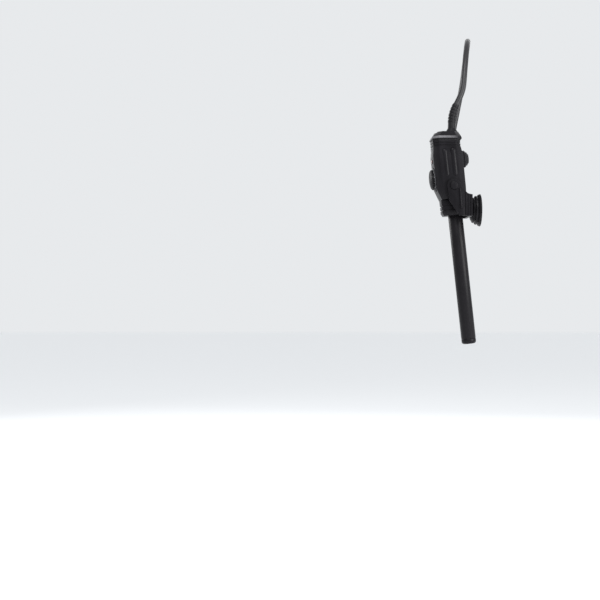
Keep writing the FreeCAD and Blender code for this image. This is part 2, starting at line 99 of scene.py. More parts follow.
class Socket:
    """A shader socket whose arithmetic adds Math nodes."""

    def __init__(self, net: "ShaderNet", link: Any) -> None:
        """Wrap a link of a net.

        Args:
            net: The net that the socket's node belongs to.
            link: The Blender socket.
        """
        self.net = net
        self.link = link

    def _maths(self, operation: str, first: Any, second: Any) -> "Socket":
        """Return one Math node's result for two values."""
        return self.net.node("ShaderNodeMath", {"operation": operation}, {0: first, 1: second})

    def __add__(self, other: Any) -> "Socket":
        """Add."""
        return self._maths("ADD", self, other)

    def __radd__(self, other: Any) -> "Socket":
        """Add, reflected."""
        return self._maths("ADD", other, self)

    def __sub__(self, other: Any) -> "Socket":
        """Subtract."""
        return self._maths("SUBTRACT", self, other)

    def __rsub__(self, other: Any) -> "Socket":
        """Subtract, reflected."""
        return self._maths("SUBTRACT", other, self)

    def __mul__(self, other: Any) -> "Socket":
        """Multiply."""
        return self._maths("MULTIPLY", self, other)

    def __rmul__(self, other: Any) -> "Socket":
        """Multiply, reflected."""
        return self._maths("MULTIPLY", other, self)

    def wave(self) -> "Socket":
        """Return the sine of the value."""
        return self._maths("SINE", self, 0.0)


class ShaderNet:
    """One material's node tree."""

    def __init__(self, name: str) -> None:
        """Start an empty material.

        Args:
            name: The material's name.
        """
        self.material = bpy.data.materials.new(name)
        self.material.use_nodes = True
        self.tree = self.material.node_tree
        self.tree.nodes.clear()

    def node(self, kind: str, settings: dict[str, Any] | None = None, values: dict[Any, Any] | None = None,
             out: Any = 0) -> Socket:
        """Make one node.

        Args:
            kind: The node's type.
            settings: Attributes of the node, which are set first.
            values: Socket values or links, by name or number.
            out: Name or number of the output that is wanted.

        Returns:
            The wanted output, wrapped; an output node has none.
        """
        made = self.tree.nodes.new(kind)
        for key, value in (settings or {}).items():
            setattr(made, key, value)
        for key, value in (values or {}).items():
            self._set(made.inputs[key], value)
        return Socket(self, made.outputs[out] if made.outputs else None)

    def _set(self, socket: Any, value: Any) -> None:
        """Link a wrapped socket, or set a plain value.

        Args:
            socket: The node's input.
            value: A wrapped socket, or a number, colour or vector.
        """
        if isinstance(value, Socket):
            self.tree.links.new(value.link, socket)
        elif isinstance(value, tuple) and len(value) == 3 and socket.type == "RGBA":
            socket.default_value = (*value, 1.0)
        else:
            socket.default_value = value

    def place(self) -> Socket:
        """Return the Object coordinates."""
        return self.node("ShaderNodeTexCoord", out="Object")

    def axis(self, which: int) -> Socket:
        """Return one Object coordinate, in metres."""
        return self.node("ShaderNodeSeparateXYZ", values={0: self.place()}, out=which)

    def stretched(self, scale: Point) -> Socket:
        """Return Object coordinates scaled along each axis."""
        return self.node("ShaderNodeMapping", values={"Vector": self.place(), "Scale": scale})

    def noise(self, scale: float, detail: float = 3.0, vector: Socket | None = None) -> Socket:
        """Make a noise.

        Args:
            scale: How fine it is, in waves to a metre.
            detail: Its finer octaves.
            vector: Where it is read, if not at the Object coordinates.

        Returns:
            A value from 0 to 1.
        """
        where = vector or self.place()
        sockets = {"Vector": where, "Scale": scale, "Detail": detail}
        return self.node("ShaderNodeTexNoise", {}, sockets, "Fac")

    def band(self, value: Socket, low: float, high: float, tone_low: float, tone_high: float) -> Socket:
        """Map a value's stretch to a range of tones, clamped."""
        sockets = {"Value": value, "From Min": low, "From Max": high, "To Min": tone_low, "To Max": tone_high}
        return self.node("ShaderNodeMapRange", {"clamp": True}, sockets)

    def mix(self, amount: Any, first: Any, second: Any) -> Socket:
        """Mix two colours by an amount from 0 to 1."""
        return self.node("ShaderNodeMix", {"data_type": "RGBA"}, {"Factor": amount, 6: first, 7: second}, 2)

    def bump(self, height: Socket, strength: float, distance: float) -> Socket:
        """Return a bumped normal."""
        return self.node("ShaderNodeBump", {}, {"Height": height, "Strength": strength, "Distance": distance})

    def surface(self, sockets: dict[str, Any]) -> Any:
        """Close the tree with one Principled shader.

        Args:
            sockets: The shader's values or links.

        Returns:
            The finished material.
        """
        shader = self.node("ShaderNodeBsdfPrincipled", {}, sockets)
        self.node("ShaderNodeOutputMaterial", {}, {"Surface": shader})
        return self.material


# ---------------------------------------------------------------- finishes


@dataclass(frozen=True)
class MouldedPlastic:
    """Injection-moulded plastic with a fine spark texture and faint flow streaks; a subclass may add a painted
    highlight.
    """

    name: str
    colour: Colour
    roughness: float = 0.4
    grain_scale: float = 2600.0
    grain_depth: float = 0.00004
    streaks: float = 0.25
    sheen: float = 0.1

    def add_painted_highlight(self, net: ShaderNet, tone: Socket) -> Socket:
        """Return the tone with any painted highlight added; a plain moulding has none."""
        return tone

    def material(self) -> Any:
        """Make the finish.

        Returns:
            The material.
        """
        net = ShaderNet(self.name)
        grain = net.noise(self.grain_scale, 2.0)
        flow = net.noise(1.0, 4.0, net.stretched((420.0, 420.0, 40.0)))
        cloud = net.noise(95.0, 3.0)
        lighter = tuple(min(1.0, c * 1.5 + 0.003) for c in self.colour)
        darker = tuple(c * 0.72 for c in self.colour)
        tone = net.mix(net.band(cloud, 0.3, 0.7, 0.0, 1.0), darker, self.colour)
        tone = net.mix(net.band(flow, 0.45, 0.85, 0.0, self.streaks), tone, lighter)
        tone = self.add_painted_highlight(net, tone)
        rough = self.roughness + (cloud - 0.5) * 0.16 + (flow - 0.5) * 0.1
        normal = net.bump(grain + flow * 0.4, 0.35, self.grain_depth)
        return net.surface({"Base Color": tone, "Roughness": rough, "Normal": normal,
                            "Specular IOR Level": self.sheen})


@dataclass(frozen=True)
class PaintedHighlightCap(MouldedPlastic):
    """The cap's plastic, with a lighter band painted on its lip as a highlight."""

    lip: tuple[float, float] = (0.0545, 0.0561)
    # Colour of the painted highlight on the cap's lip.
    painted_highlight_tone: Colour = (0.13, 0.128, 0.135)

    def add_painted_highlight(self, net: ShaderNet, tone: Socket) -> Socket:
        """Add the lip's band of painted highlight.

        Args:
            net: The cap's net.
            tone: The colour so far.

        Returns:
            The colour with the band.
        """
        height, across = net.axis(2), net.axis(0)
        low, high = self.lip
        above = net.band(height, low - 0.0003, low + 0.0001, 0.0, 1.0)
        below = net.band(height, high - 0.0001, high + 0.0003, 1.0, 0.0)
        fade = net.band(across, -0.026, -0.018, 1.0, 0.0)
        patchy = net.band(net.noise(240.0, 3.0), 0.25, 0.6, 0.6, 1.0)
        # The lighter lip band is a painted highlight, fading out across the cap towards +X.
        return net.mix(above * below * fade * patchy, tone, self.painted_highlight_tone)


@dataclass(frozen=True)
class SoftRubber:
    """Matt elastomer with a bloom of dust and tiny pores."""

    name: str
    colour: Colour
    roughness: float = 0.55
    bloom: float = 0.35

    def material(self) -> Any:
        """Make the finish.

        Returns:
            The material.
        """
        net = ShaderNet(self.name)
        pores = net.noise(3400.0, 2.0)
        cloud = net.noise(160.0, 4.0)
        dusty = tuple(c * 1.6 + 0.004 for c in self.colour)
        tone = net.mix(net.band(cloud, 0.4, 0.8, 0.0, self.bloom), self.colour, dusty)
        rough = self.roughness + (cloud - 0.5) * 0.2
        return net.surface({"Base Color": tone, "Roughness": rough, "Normal": net.bump(pores, 0.4, 0.00005),
                            "Specular IOR Level": 0.14})


@dataclass(frozen=True)
class CableJacket:
    """Extruded flexible jacket: fine lengthwise drag lines and a satin skin."""

    name: str
    colour: Colour
    roughness: float = 0.42

    def material(self) -> Any:
        """Make the finish.

        Returns:
            The material.
        """
        net = ShaderNet(self.name)
        skin = net.noise(1900.0, 3.0)
        cloud = net.noise(60.0, 3.0)
        lighter = tuple(c * 1.5 + 0.003 for c in self.colour)
        tone = net.mix(net.band(cloud, 0.35, 0.75, 0.0, 0.6), self.colour, lighter)
        rough = self.roughness + (skin - 0.5) * 0.12 + (cloud - 0.5) * 0.14
        return net.surface({"Base Color": tone, "Roughness": rough, "Normal": net.bump(skin, 0.3, 0.00004),
                            "Specular IOR Level": 0.32})


@dataclass(frozen=True)
class Metal:
    """Drawn or turned metal with hairline marks and light tarnish."""

    name: str
    colour: Colour
    roughness: float = 0.3
    tarnish: Colour = (0.25, 0.22, 0.18)

    def material(self) -> Any:
        """Make the finish.

        Returns:
            The material.
        """
        net = ShaderNet(self.name)
        hair = net.noise(1.0, 2.0, net.stretched((3000.0, 3000.0, 160.0)))
        cloud = net.noise(260.0, 4.0)
        tone = net.mix(net.band(cloud, 0.55, 0.85, 0.0, 0.5), self.colour, self.tarnish)
        rough = self.roughness + (hair - 0.5) * 0.2 + (cloud - 0.5) * 0.15
        normal = net.bump(hair, 0.25, 0.00003)
        return net.surface({"Base Color": tone, "Metallic": 1.0, "Roughness": rough, "Normal": normal})


@dataclass(frozen=True)
class Ceramic:
    """Fired, unglazed ceramic with a chalky speckle."""

    name: str
    colour: Colour = (0.8, 0.77, 0.7)

    def material(self) -> Any:
        """Make the finish.

        Returns:
            The material.
        """
        net = ShaderNet(self.name)
        speck = net.noise(1500.0, 5.0)
        tone = net.mix(net.band(speck, 0.5, 0.75, 0.0, 0.5), self.colour, (0.55, 0.5, 0.43))
        return net.surface({"Base Color": tone, "Roughness": 0.72, "Normal": net.bump(speck, 0.5, 0.00008)})


@dataclass(frozen=True)
class BoardLaminate:
    """Green laminate with a faint weave under the lacquer."""

    name: str
    colour: Colour = (0.03, 0.16, 0.07)

    def material(self) -> Any:
        """Make the finish.

        Returns:
            The material.
        """
        net = ShaderNet(self.name)
        weave = (net.axis(1) * 9000.0).wave() * (net.axis(2) * 9000.0).wave()
        cloud = net.noise(300.0, 3.0)
        tone = net.mix(net.band(weave, -0.6, 0.9, 0.0, 0.35), self.colour, (0.08, 0.28, 0.12))
        rough = 0.3 + cloud * 0.15
        return net.surface({"Base Color": tone, "Roughness": rough, "Normal": net.bump(weave, 0.15, 0.00004)})


@dataclass(frozen=True)
class ClearPlastic:
    """Tinted clear plastic of the pilot lens."""

    name: str
    colour: Colour = (0.05, 0.006, 0.006)

    def material(self) -> Any:
        """Make the finish.

        Returns:
            The material.
        """
        net = ShaderNet(self.name)
        ripple = net.noise(900.0, 2.0)
        tone = net.mix(ripple, self.colour, tuple(c * 1.4 for c in self.colour))
        rough = 0.08 + ripple * 0.08
        return net.surface({"Base Color": tone, "Roughness": rough, "Normal": net.bump(ripple, 0.2, 0.00005),
                            "Coat Weight": 0.6})


@dataclass(frozen=True)
class StageTone:
    """Plain pale surface of the studio."""

    name: str
    colour: Colour = (0.95, 0.96, 0.97)

    def material(self) -> Any:
        """Return the material."""
        return ShaderNet(self.name).surface({"Base Color": self.colour, "Roughness": 0.9})


class Palette:
    """Every finish of the heater, made once."""

    def __init__(self) -> None:
        """Make the materials."""
        self.casing = MouldedPlastic("casing_plastic", (0.0068, 0.0062, 0.0078), 0.36).material()
        # The cap's material carries a painted highlight on its lip.
        self.cap = PaintedHighlightCap("cap_plastic", (0.0075, 0.007, 0.0085), 0.36).material()
        tube = MouldedPlastic("tube_plastic", (0.0075, 0.0068, 0.0082), 0.35, 3200.0, 0.00002, 0.15)
        self.tube = tube.material()
        self.knob = MouldedPlastic("knob_plastic", (0.006, 0.0058, 0.007), 0.42).material()
        self.scale = MouldedPlastic("scale_plastic", (0.05, 0.05, 0.054), 0.4).material()
        self.bracket = MouldedPlastic("bracket_plastic", (0.0055, 0.005, 0.0064), 0.38).material()
        self.component = MouldedPlastic("component_resin", (0.05, 0.05, 0.055), 0.5).material()
        self.ticks = MouldedPlastic("tick_paint", (0.62, 0.62, 0.62), 0.5).material()
        self.rubber = SoftRubber("cup_rubber", (0.006, 0.0058, 0.007), 0.46).material()
        self.seal = SoftRubber("seal_rubber", (0.012, 0.012, 0.013), 0.6).material()
        self.cable = CableJacket("cable_jacket", (0.011, 0.0105, 0.012)).material()
        self.steel = Metal("nickel_plate", (0.72, 0.7, 0.66), 0.24).material()
        self.wire = Metal("resistance_wire", (0.46, 0.44, 0.41), 0.35).material()
        self.brass = Metal("turned_brass", (0.78, 0.58, 0.25), 0.26, (0.35, 0.22, 0.08)).material()
        self.ceramic = Ceramic("fired_ceramic").material()
        self.board = BoardLaminate("board_laminate").material()
        self.lens = ClearPlastic("pilot_lens").material()


# ---------------------------------------------------------------- workbench


class Bench:
    """Hand modelling with Blender's operators, in millimetres about the origin."""

    @staticmethod
    def clear() -> None:
        """Deselect everything."""
        bpy.ops.object.select_all(action="DESELECT")

    @staticmethod
    def only(piece: Any) -> Any:
        """Make a piece the one selected, active object.

        Args:
            piece: The object.

        Returns:
            The same object.
        """
        Bench.clear()
        piece.select_set(True)
        bpy.context.view_layer.objects.active = piece
        return piece

    @staticmethod
    def block(name: str, low: Point, high: Point) -> Any:
        """Add a box between two corners.

        Args:
            name: The new object's name.
            low: Lowest corner, in millimetres.
            high: Highest corner, in millimetres.

        Returns:
            The new object, its place held in its mesh.
        """
        Bench.clear()
        middle = [(a + b) / 2 for a, b in zip(low, high)]
        bpy.ops.mesh.primitive_cube_add(size=1.0, location=middle)
        piece = bpy.context.active_object
        piece.scale = [b - a for a, b in zip(low, high)]
        return Bench.settle(piece, name)

    @staticmethod
    def settle(piece: Any, name: str) -> Any:
        """Move a piece's place, turn and scale into its mesh and name it.

        Args:
            piece: The object.
            name: Its name.

        Returns:
            The same object.
        """
        Bench.only(piece)
        bpy.ops.object.transform_apply(location=True, rotation=True, scale=True)
        piece.name = name
        piece.data.name = name
        return piece

    @staticmethod
    def open(piece: Any, kind: Element = Element.FACES) -> None:
        """Enter edit mode with nothing selected.

        Args:
            piece: The object.
            kind: What the selection mode is for.
        """
        Bench.only(piece)
        bpy.ops.object.mode_set(mode="EDIT")
        bpy.ops.mesh.select_mode(type=kind.value[1])
        bpy.ops.mesh.select_all(action="DESELECT")

    @staticmethod
    def close() -> None:
        """Leave edit mode."""
        bpy.ops.object.mode_set(mode="OBJECT")

    @staticmethod
    def pick(piece: Any, kind: Element, test: Callable[[Any], bool]) -> None:
        """Select faces, edges or vertices that pass a test.

        Args:
            piece: The object in edit mode.
            kind: Which elements are tested.
            test: Says whether an element is wanted.
        """
        bpy.ops.mesh.select_all(action="DESELECT")
        mesh = bmesh.from_edit_mesh(piece.data)
        mesh.normal_update()
        chosen = [e for e in getattr(mesh, kind.value[0]) if test(e)]
        for element in chosen:
            element.select_set(True)
        mesh.select_flush_mode()
        bmesh.update_edit_mesh(piece.data)

    @staticmethod
    def cut(heights: Iterable[float]) -> None:
        """Bisect the open piece level at some heights.

        Args:
            heights: Where to cut.
        """
        for height in heights:
            bpy.ops.mesh.select_all(action="SELECT")
            bpy.ops.mesh.bisect(plane_co=(0.0, 0.0, height), plane_no=(0.0, 0.0, 1.0))

    @staticmethod
    def resize(factors: Point, centre: Point) -> None:
        """Scale the selection about a point."""
        bpy.ops.transform.resize(value=factors, center_override=centre)

    @staticmethod
    def turned(name: str, profile: Sequence[tuple[float, float]], axis: Axis, sides: int = 64) -> Any:
        """Turn a profile into a round piece, ring by ring.

        Args:
            name: The new object's name.
            profile: (place along the axis, radius) pairs; a radius of 0 closes an end.
            axis: The axis that the piece is turned about.
            sides: Sides of each ring.

        Returns:
            The new object.
        """
        Bench.clear()
        point_radius, merge_within = 0.01, 0.03
        start, radius = profile[0]
        first = max(radius, point_radius)
        bpy.ops.mesh.primitive_circle_add(vertices=sides, radius=first, location=(0, 0, start))
        piece = bpy.context.active_object
        Bench.open(piece, Element.VERTS)
        bpy.ops.mesh.select_all(action="SELECT")
        before = first
        for (low, _), (high, wide) in zip(profile, profile[1:]):
            wide = max(wide, point_radius)
            bpy.ops.mesh.extrude_region_move(TRANSFORM_OT_translate={"value": (0, 0, high - low)})
            Bench.resize((wide / before, wide / before, 1.0), (0, 0, high))
            before = wide
        bpy.ops.mesh.select_all(action="SELECT")
        bpy.ops.mesh.remove_doubles(threshold=merge_within)
        bpy.ops.mesh.normals_make_consistent(inside=False)
        Bench.close()
        Bench.settle(piece, name)
        if axis is Axis.X:
            piece.rotation_euler = (0, math.pi / 2, 0)
        return Bench.settle(piece, name)

    @staticmethod
    def twin(piece: Any, place: Matrix) -> Any:
        """Copy a piece, with a mesh of its own, and place the copy.

        Args:
            piece: The piece that was modelled.
            place: Where the copy goes.

        Returns:
            The copy.
        """
        copy = bpy.data.objects.new(piece.name, piece.data.copy())
        bpy.context.scene.collection.objects.link(copy)
        copy.data.transform(place)
        return copy

    @staticmethod
    def join(name: str, pieces: Sequence[Any]) -> Any:
        """Join pieces into the first one.

        Args:
            name: The joined object's name.
            pieces: The objects.

        Returns:
            The joined object.
        """
        Bench.clear()
        for piece in pieces:
            piece.select_set(True)
        bpy.context.view_layer.objects.active = pieces[0]
        bpy.ops.object.join()
        return Bench.settle(pieces[0], name)

    @staticmethod
    def soften(piece: Any, width: float, segments: int = 3, angle_deg: float = 28.0) -> Any:
        """Round a piece's edges with an applied bevel and shade it smooth.

        Args:
            piece: The object.
            width: The bevel's width, in the mesh's unit.
            segments: Steps of the bevel.
            angle_deg: Only edges sharper than this are rounded.

        Returns:
            The same object.
        """
        Bench.only(piece)
        bevel = piece.modifiers.new("edges", "BEVEL")
        bevel.width = width
        bevel.segments = segments
        bevel.limit_method = "ANGLE"
        bevel.angle_limit = math.radians(angle_deg)
        bevel.use_clamp_overlap = True
        bevel.harden_normals = False
        bpy.ops.object.modifier_apply(modifier=bevel.name)
        bpy.ops.object.shade_smooth_by_angle(angle=math.radians(32))
        return piece

    @staticmethod
    def cad_copy(node: str, name: str, width: float, segments: int = 2) -> Any:
        """Copy a CAD node's mesh, merge it and round its edges.

        Args:
            node: The CAD node to copy.
            name: The new object's name.
            width: The bevel's width, in metres.
            segments: Steps of the bevel.

        Returns:
            The new object, in metres and in place.
        """
        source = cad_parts[node]
        piece = bpy.data.objects.new(name, source.data.copy())
        bpy.context.scene.collection.objects.link(piece)
        piece.data.name = name
        piece.data.materials.clear()
        Bench.open(piece)
        bpy.ops.mesh.select_all(action="SELECT")
        bpy.ops.mesh.remove_doubles(threshold=0.000004)
        bpy.ops.mesh.dissolve_limited(angle_limit=math.radians(2.0))
        Bench.close()
        return Bench.soften(piece, width, segments, 24.0)

    @staticmethod
    def dress(piece: Any, material: Any) -> Any:
        """Give a whole piece one material.

        Args:
            piece: The object.
            material: Its material.

        Returns:
            The same object.
        """
        piece.data.materials.clear()
        piece.data.materials.append(material)
        return piece

    @staticmethod
    def dress_nodes(finishes: dict[str, Any]) -> None:
        """Give CAD nodes that are kept as they are their materials.

        Args:
            finishes: Material for each node's name.
        """
        for node, material in finishes.items():
            Bench.dress(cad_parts[node], material)
            LOG.info("%s: kept from the CAD", node)

    @staticmethod
    def fit(piece: Any, place: Matrix, material: Any, body: Body, nodes: Sequence[str], slot: str) -> Any:
        """Carry a finished piece to its place, dress it and hand it to the frame.

        Args:
            piece: The object.
            place: Matrix from the piece's own millimetres to the shared frame.
            material: Its material.
            body: The body that it rides on.
            nodes: The CAD nodes that it stands for.
            slot: Not used.

        Returns:
            The same object.
        """
        piece.data.transform(place)
        piece.data.update()
        Bench.dress(piece, material)
        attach(piece, body.value)
        if nodes:
            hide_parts(*nodes)
        LOG.info("%s: %d faces, for %s", piece.name, len(piece.data.polygons), ", ".join(nodes) or "detail")
        return piece


# ---------------------------------------------------------------- studio


@dataclass
class Studio:
    """Camera, floor and lights."""

    camera_at: Point = (-0.1395, -0.930, -0.0695)
    lens: float = 72.0
    floor_z: float = -0.285
    floor_size: float = 14.0
    aim: Point = (-0.02, 0.0, 0.0)
    panels: tuple[tuple[str, Point, float, float], ...] = (
        ("left_panel", (-1.0, 0.75, 0.3), 0.5, 6.0),
        ("right_panel", (0.75, -0.62, 0.15), 0.55, 10.0),
        ("top_panel", (-0.15, -0.72, 0.75), 0.4, 8.0),
        ("rear_panel", (0.2, 1.0, 0.5), 0.8, 3.0),
    )

    def build(self) -> None:
        """Make the studio."""
        self._camera()
        self._floor()
        self._lights()

    def _camera(self) -> None:
        """Add the level camera that looks along +Y."""
        data = bpy.data.cameras.new("camera")
        data.lens = self.lens
        data.sensor_width = 36.0
        data.clip_start = 0.01
        data.clip_end = 60.0
        camera = bpy.data.objects.new("camera", data)
        bpy.context.scene.collection.objects.link(camera)
        camera.location = self.camera_at
        camera.rotation_euler = (math.pi / 2, 0, 0)
        bpy.context.scene.camera = camera

    def _floor(self) -> None:
        """Add the pale floor."""
        Bench.clear()
        bpy.ops.mesh.primitive_plane_add(size=self.floor_size, location=(0, 0, self.floor_z))
        floor = bpy.context.active_object
        floor.name = "floor"
        Bench.dress(floor, StageTone("pale_floor").material())

    def _light(self, name: str, place: Point, aim: Point, size: float, power: float) -> None:
        """Add one soft panel of light.

        Args:
            name: The lamp's name.
            place: Where it stands, in metres.
            aim: The point that it faces.
            size: The panel's side, in metres.
            power: Its power, in watts.
        """
        data = bpy.data.lights.new(name, "AREA")
        data.shape = "SQUARE"
        data.size = size
        data.energy = power
        lamp = bpy.data.objects.new(name, data)
        bpy.context.scene.collection.objects.link(lamp)
        lamp.location = place
        lamp.rotation_euler = (Vector(aim) - Vector(place)).to_track_quat("-Z", "Y").to_euler()

    def _lights(self) -> None:
        """Add the soft panels and the pale surroundings."""
        for name, place, size, power in self.panels:
            self._light(name, place, self.aim, size, power)
        world = bpy.data.worlds.new("surroundings")
        world.use_nodes = True
        backdrop = world.node_tree.nodes["Background"]
        backdrop.inputs["Color"].default_value = (0.93, 0.95, 0.97, 1.0)
        backdrop.inputs["Strength"].default_value = 0.865
        bpy.context.scene.world = world
        bpy.context.scene.view_settings.view_transform = "Standard"


# ---------------------------------------------------------------- cord


@dataclass
class MainsCord:
    """The mains cable, from its strain relief over an arch into a tied coil, and on to the plug."""

    diameter: float = 4.5
    route: tuple[Point, ...] = (
        (-18.5, 0.0, 81.9), (-15.1, 0.1, 88.2), (-12.7, 0.9, 95.9), (-11.7, 2.9, 107.2), (-9.7, 8.7, 122.0),
        (-7.0, 20.5, 134.0), (-4.4, 36.0, 139.5), (-2.9, 52.0, 136.5), (-2.7, 65.5, 126.0), (-3.9, 73.0, 109.5),
        (-7.4, 75.0, 90.5), (-11.6, 73.9, 70.5), (-13.6, 72.3, 53.0),
    )
    tail: tuple[Point, ...] = (
        (-21.6, 56.5, 65.6), (-22.4, 66.0, 68.4), (-20.0, 77.5, 69.4), (-15.6, 88.1, 65.4),
        (-10.8, 95.4, 57.0), (-7.4, 98.6, 45.7),
    )
    coil_centre: Point = (-19.5, 47.5, 40.5)
    coil_radius: float = 22.5
    steps: int = 14
    slots: tuple[float, ...] = (6.75, 2.25, -2.25, -6.75)
    last_turn_left: float = 0.27
    step_over_from: float = 0.78
    looseness: float = 0.22
    length_m: float = 1.33

    def _winding(self) -> list[tuple[bool, float]]:
        """List the coil's turns in the order that they are wound.

        Returns:
            For each turn, whether it is an outer one, and its place across the coil.
        """
        first, second, third, last = self.slots
        inner = [(False, place) for place in self.slots]
        return [(True, first), *inner, (True, last), (True, third), (True, second)]

    def coil_points(self) -> list[Vector]:
        """Lay the coil's control points, turn by turn.

        Returns:
            The points, in millimetres.
        """
        turns = self._winding()
        lean = Matrix.Rotation(math.radians(LEAN_DEG), 3, "Y")
        half = self.diameter / 2
        points = []
        total = round((len(turns) - self.last_turn_left) * self.steps)
        for i in range(1, total + 1):
            turn, part = divmod(i, self.steps)
            here = turns[min(turn, len(turns) - 1)]
            after = turns[min(turn + 1, len(turns) - 1)]
            share = part / self.steps
            ease = max(0.0, min(1.0, (share - self.step_over_from) / (1 - self.step_over_from)))
            ease = ease * ease * (3 - 2 * ease)
            radius_here = self.coil_radius + (half if here[0] else -half)
            radius_after = self.coil_radius + (half if after[0] else -half)
            radius = radius_here + (radius_after - radius_here) * ease
            across = here[1] + (after[1] - here[1]) * ease
            radius += self.looseness * math.sin(2.3 * turn + 5.1 * share)
            angle = 2 * math.pi * share
            swell = 1 / math.cos(math.pi / self.steps) ** 0.5
            local = Vector((across, radius * swell * math.cos(angle), -radius * swell * math.sin(angle)))
            points.append(Vector(self.coil_centre) + lean @ local)
        return points

    def build(self, palette: Palette, with_pieces: Sequence[Any]) -> Any:
        """Make the cable.

        Args:
            palette: The finishes.
            with_pieces: Not used.

        Returns:
            The cable's curve.
        """
        points = [Vector(p) for p in self.route] + self.coil_points() + [Vector(p) for p in self.tail]
        data = bpy.data.curves.new("mains_cord", "CURVE")
        data.dimensions = "3D"
        data.bevel_depth = self.diameter / 2 * MM
        data.bevel_resolution = 5
        data.resolution_u = 6
        data.use_fill_caps = True
        spline = data.splines.new("NURBS")
        spline.points.add(len(points) - 1)
        for control, point in zip(spline.points, points):
            control.co = (*(point * MM), 1.0)
        spline.order_u = 3
        spline.use_endpoint_u = True
        cord = bpy.data.objects.new("mains_cord", data)
        bpy.context.scene.collection.objects.link(cord)
        data.materials.append(palette.cable)
        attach(cord, Body.HEATER.value)
        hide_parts("cord_tube", "cord_tail", "cord_coil")
        LOG.info("mains_cord: %d control points", len(points))
        return cord


@dataclass
class PlugEnd:
    """The flat plug, its pins and strain relief, and the tie round the coil."""

    body_edge: float = 0.0012
    relief_edge: float = 0.00025
    tie_edge: float = 0.0005

    def build(self, palette: Palette) -> list[Any]:
        """Make the pieces on the cable.

        Args:
            palette: The finishes.

        Returns:
            The pieces.
        """
        body = Bench.cad_copy("plug_body", "plug_moulding", self.body_edge, 3)
        Bench.fit(body, Matrix(), palette.cable, Body.HEATER, ["plug_body"], "cable")
        relief = Bench.cad_copy("plug_relief", "plug_strain_relief", self.relief_edge)
        Bench.fit(relief, Matrix(), palette.cable, Body.HEATER, ["plug_relief"], "cable")
        tie = Bench.cad_copy("coil_tie", "rubber_tie", self.tie_edge, 3)
        Bench.fit(tie, Matrix(), palette.seal, Body.HEATER, ["coil_tie"], "seal_rubber")
        Bench.dress_nodes({"plug_pins": palette.steel})
        return [body, relief, tie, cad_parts["plug_pins"]]


# ---------------------------------------------------------------- control head


